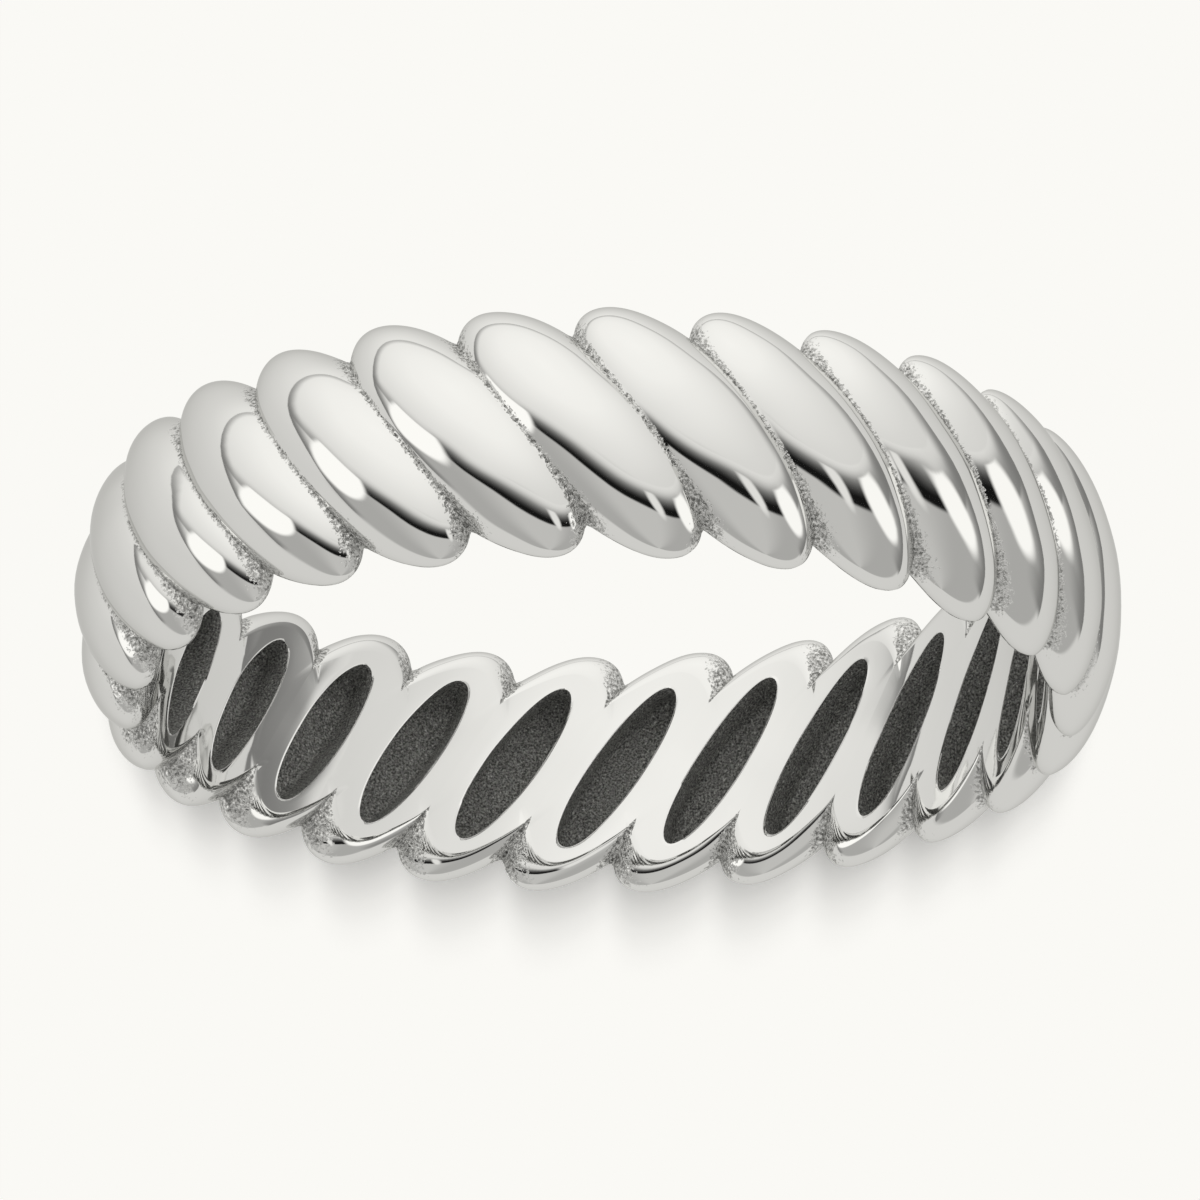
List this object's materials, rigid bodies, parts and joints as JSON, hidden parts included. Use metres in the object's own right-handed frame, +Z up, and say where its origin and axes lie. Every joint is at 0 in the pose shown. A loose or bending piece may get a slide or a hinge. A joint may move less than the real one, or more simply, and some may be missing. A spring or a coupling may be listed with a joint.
{
  "type": "rope twist ring",
  "caption": "Finger ring cast as one band of slanted, crowned lobes that meet in grooves like the strands of a rope, with a pocket hollowed behind each lobe.",
  "frame": {"origin": "on the axis of the bore, in the plane that the lobe tips of one rim rest on", "axes": "+Z runs up along the bore, from the rim that the ring lies on to the other rim; a groove lies at +X, at half height"},
  "size_m": [0.0202, 0.0204, 0.0051],
  "materials": {
    "polished_silver": "cast sterling silver, mirror polished on the lobes and the bore, grey and grainy as cast in the pockets and the notches"
  },
  "bodies": {
    "root": {"twist_band": "polished_silver"}
  },
  "joints": []
}
